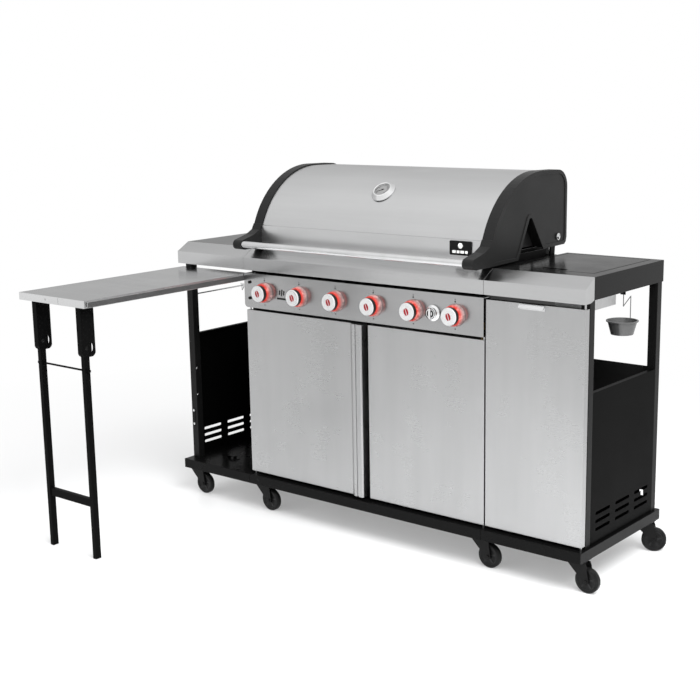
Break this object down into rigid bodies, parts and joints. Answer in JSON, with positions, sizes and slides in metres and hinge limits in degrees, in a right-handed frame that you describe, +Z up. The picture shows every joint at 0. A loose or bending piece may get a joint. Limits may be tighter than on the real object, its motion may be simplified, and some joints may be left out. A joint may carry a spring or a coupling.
{
  "type": "gas barbecue grill",
  "caption": "Large gas barbecue with a hinged lid, lit control knobs, cabinet doors, a covered side burner, a fold-down table on folding legs and swivel casters.",
  "frame": {"origin": "centre of the overall box on the floor, with the wheels and table legs standing on z = 0", "axes": "+X along the long side to the viewer's right when facing the doors, -Y towards the cook, +Z up"},
  "size_m": [1.6384, 1.146, 1.162],
  "materials": {
    "black_powder_coat": "satin fine-texture powder coat",
    "brushed_stainless": "horizontally brushed",
    "polished_stainless": "polished",
    "charcoal_cast": "satin charcoal paint on cast aluminium",
    "black_enamel": "porcelain enamel",
    "cast_iron": "seasoned",
    "galvanised_steel": "matt galvanised",
    "brass": "machined",
    "knob_silver": "satin silver paint",
    "ring_light": "translucent red light ring",
    "black_plastic": "satin",
    "caster_tread": "matt",
    "caster_steel": "black zinc",
    "grey_bowl": "satin grey"
  },
  "bodies": {
    "chassis": {"base_frames": "black_powder_coat", "bottle_pan": "black_powder_coat", "frame_members": "black_powder_coat", "side_panels": "black_powder_coat", "inner_panels": "black_powder_coat", "shelf_left": "brushed_stainless", "shelf_right": "black_powder_coat", "front_fascias": "brushed_stainless", "firebox": "black_enamel", "tube_burners": "galvanised_steel", "flame_tamers": "brushed_stainless", "cooking_grates": "cast_iron", "warming_rack": "polished_stainless", "gas_manifold": "brass", "control_panel": "brushed_stainless", "knob_bezels": "ring_light", "side_burner": "cast_iron", "power_box": "galvanised_steel", "caster_plates": "caster_steel", "towel_rail": "polished_stainless"},
    "lid": {"lid_shell": "brushed_stainless", "lid_caps": "charcoal_cast", "lid_handle": "polished_stainless", "thermometer": "polished_stainless"},
    "left_door": {"door_left": "brushed_stainless", "door_left_pull": "brushed_stainless"},
    "right_door": {"door_right": "brushed_stainless"},
    "side_door": {"door_side": "brushed_stainless", "side_door_tab": "polished_stainless"},
    "table": {"table_top": "brushed_stainless", "leg_brackets": "black_powder_coat"},
    "legs": {"leg_frame": "black_powder_coat"},
    "bowl": {"hanging_bowl": "grey_bowl"},
    "cover": {"burner_cover": "black_powder_coat"},
    "tray": {"grease_tray": "galvanised_steel"},
    "side_knob": {"knob_side": "polished_stainless"},
    "light_switch": {"light_button": "black_plastic"},
    "igniter": {"ignition_button": "black_plastic"},
    "burner_knob_1": {"knob_1": "knob_silver"},
    "burner_knob_2": {"knob_2": "knob_silver"},
    "burner_knob_3": {"knob_3": "knob_silver"},
    "burner_knob_4": {"knob_4": "knob_silver"},
    "burner_knob_5": {"knob_5": "knob_silver"},
    "burner_knob_6": {"knob_6": "knob_silver"},
    "fork_1": {"caster_fork_1": "caster_steel"},
    "wheel_1": {"caster_wheel_1": "caster_tread"},
    "fork_2": {"caster_fork_2": "caster_steel"},
    "wheel_2": {"caster_wheel_2": "caster_tread"},
    "fork_3": {"caster_fork_3": "caster_steel"},
    "wheel_3": {"caster_wheel_3": "caster_tread"},
    "fork_4": {"caster_fork_4": "caster_steel"},
    "wheel_4": {"caster_wheel_4": "caster_tread"},
    "fork_5": {"caster_fork_5": "caster_steel"},
    "wheel_5": {"caster_wheel_5": "caster_tread"},
    "fork_6": {"caster_fork_6": "caster_steel"},
    "wheel_6": {"caster_wheel_6": "caster_tread"},
    "fork_7": {"caster_fork_7": "caster_steel"},
    "wheel_7": {"caster_wheel_7": "caster_tread"},
    "fork_8": {"caster_fork_8": "caster_steel"},
    "wheel_8": {"caster_wheel_8": "caster_tread"}
  },
  "joints": [
    {"name": "lid_open", "type": "hinge", "parent": "chassis", "child": "lid", "pos_m": [-0.02625, 0.511, 0.955], "axis": [-1, 0, 0], "range_deg": [0, 80]},
    {"name": "left_door_open", "type": "hinge", "parent": "chassis", "child": "left_door", "pos_m": [-0.49125, 0.11, 0.415], "axis": [0, 0, -1], "range_deg": [0, 90]},
    {"name": "right_door_open", "type": "hinge", "parent": "chassis", "child": "right_door", "pos_m": [0.43925, 0.11, 0.415], "axis": [0, 0, 1], "range_deg": [0, 110]},
    {"name": "side_door_open", "type": "hinge", "parent": "chassis", "child": "side_door", "pos_m": [0.76575, 0.11, 0.475], "axis": [0, 0, 1], "range_deg": [0, 110]},
    {"name": "table_drop", "type": "hinge", "parent": "chassis", "child": "table", "pos_m": [-0.66325, 0.113, 0.8045], "axis": [1, 0, 0], "range_deg": [0, 50]},
    {"name": "leg_fold", "type": "hinge", "parent": "table", "child": "legs", "pos_m": [-0.66325, -0.54, 0.665], "axis": [1, 0, 0], "range_deg": [0, 90]},
    {"name": "bowl_swing", "type": "hinge", "parent": "chassis", "child": "bowl", "pos_m": [0.76075, 0.333, 0.831], "axis": [0, 1, 0], "range_deg": [-20, 20]},
    {"name": "cover_open", "type": "hinge", "parent": "chassis", "child": "cover", "pos_m": [0.59975, 0.538, 0.8965], "axis": [-1, 0, 0], "range_deg": [0, 95]},
    {"name": "tray_slide", "type": "slide", "parent": "chassis", "child": "tray", "axis": [0, 1, 0], "range_m": [0, 0.38]},
    {"name": "side_knob_turn", "type": "hinge", "parent": "chassis", "child": "side_knob", "pos_m": [0.27025, 0.083, 0.76], "axis": [0, -1, 0], "range_deg": [0, 90]},
    {"name": "knob_1_turn", "type": "hinge", "parent": "chassis", "child": "burner_knob_1", "pos_m": [-0.41375, 0.073, 0.76], "axis": [0, -1, 0], "range_deg": [0, 180]},
    {"name": "knob_2_turn", "type": "hinge", "parent": "chassis", "child": "burner_knob_2", "pos_m": [-0.26175, 0.073, 0.76], "axis": [0, -1, 0], "range_deg": [0, 180]},
    {"name": "knob_3_turn", "type": "hinge", "parent": "chassis", "child": "burner_knob_3", "pos_m": [-0.10975, 0.073, 0.76], "axis": [0, -1, 0], "range_deg": [0, 180]},
    {"name": "knob_4_turn", "type": "hinge", "parent": "chassis", "child": "burner_knob_4", "pos_m": [0.04225, 0.073, 0.76], "axis": [0, -1, 0], "range_deg": [0, 180]},
    {"name": "knob_5_turn", "type": "hinge", "parent": "chassis", "child": "burner_knob_5", "pos_m": [0.19425, 0.073, 0.76], "axis": [0, -1, 0], "range_deg": [0, 180]},
    {"name": "knob_6_turn", "type": "hinge", "parent": "chassis", "child": "burner_knob_6", "pos_m": [0.34625, 0.073, 0.76], "axis": [0, -1, 0], "range_deg": [0, 180]},
    {"name": "light_switch_push", "type": "slide", "parent": "chassis", "child": "light_switch", "axis": [0, 1, 0], "range_m": [0, 0.0025], "stiffness_N_per_m": 400},
    {"name": "igniter_push", "type": "slide", "parent": "chassis", "child": "igniter", "axis": [0, 1, 0], "range_m": [0, 0.0025], "stiffness_N_per_m": 400},
    {"name": "fork_1_swivel", "type": "hinge", "parent": "chassis", "child": "fork_1", "pos_m": [-0.78925, 0.125, 0.08], "axis": [0, 0, 1], "continuous": true},
    {"name": "wheel_1_roll", "type": "hinge", "parent": "fork_1", "child": "wheel_1", "pos_m": [-0.75825, 0.125, 0.0375], "axis": [0, 1, 0], "continuous": true},
    {"name": "fork_2_swivel", "type": "hinge", "parent": "chassis", "child": "fork_2", "pos_m": [-0.46725, 0.125, 0.08], "axis": [0, 0, 1], "continuous": true},
    {"name": "wheel_2_roll", "type": "hinge", "parent": "fork_2", "child": "wheel_2", "pos_m": [-0.43625, 0.125, 0.0375], "axis": [0, 1, 0], "continuous": true},
    {"name": "fork_3_swivel", "type": "hinge", "parent": "chassis", "child": "fork_3", "pos_m": [0.42275, 0.125, 0.08], "axis": [0, 0, 1], "continuous": true},
    {"name": "wheel_3_roll", "type": "hinge", "parent": "fork_3", "child": "wheel_3", "pos_m": [0.45375, 0.125, 0.0375], "axis": [0, 1, 0], "continuous": true},
    {"name": "fork_4_swivel", "type": "hinge", "parent": "chassis", "child": "fork_4", "pos_m": [0.75075, 0.125, 0.08], "axis": [0, 0, 1], "continuous": true},
    {"name": "wheel_4_roll", "type": "hinge", "parent": "fork_4", "child": "wheel_4", "pos_m": [0.78175, 0.125, 0.0375], "axis": [0, 1, 0], "continuous": true},
    {"name": "fork_5_swivel", "type": "hinge", "parent": "chassis", "child": "fork_5", "pos_m": [-0.78925, 0.53, 0.08], "axis": [0, 0, 1], "continuous": true},
    {"name": "wheel_5_roll", "type": "hinge", "parent": "fork_5", "child": "wheel_5", "pos_m": [-0.76012, 0.5406, 0.0375], "axis": [-0.342, 0.9397, 0], "continuous": true},
    {"name": "fork_6_swivel", "type": "hinge", "parent": "chassis", "child": "fork_6", "pos_m": [-0.46725, 0.53, 0.08], "axis": [0, 0, 1], "continuous": true},
    {"name": "wheel_6_roll", "type": "hinge", "parent": "fork_6", "child": "wheel_6", "pos_m": [-0.43731, 0.52198, 0.0375], "axis": [0.2588, 0.9659, 0], "continuous": true},
    {"name": "fork_7_swivel", "type": "hinge", "parent": "chassis", "child": "fork_7", "pos_m": [0.42275, 0.53, 0.08], "axis": [0, 0, 1], "continuous": true},
    {"name": "wheel_7_roll", "type": "hinge", "parent": "fork_7", "child": "wheel_7", "pos_m": [0.45328, 0.53538, 0.0375], "axis": [-0.1736, 0.9848, 0], "continuous": true},
    {"name": "fork_8_swivel", "type": "hinge", "parent": "chassis", "child": "fork_8", "pos_m": [0.75075, 0.53, 0.08], "axis": [0, 0, 1], "continuous": true},
    {"name": "wheel_8_roll", "type": "hinge", "parent": "fork_8", "child": "wheel_8", "pos_m": [0.77885, 0.5431, 0.0375], "axis": [-0.4226, 0.9063, 0], "continuous": true}
  ]
}
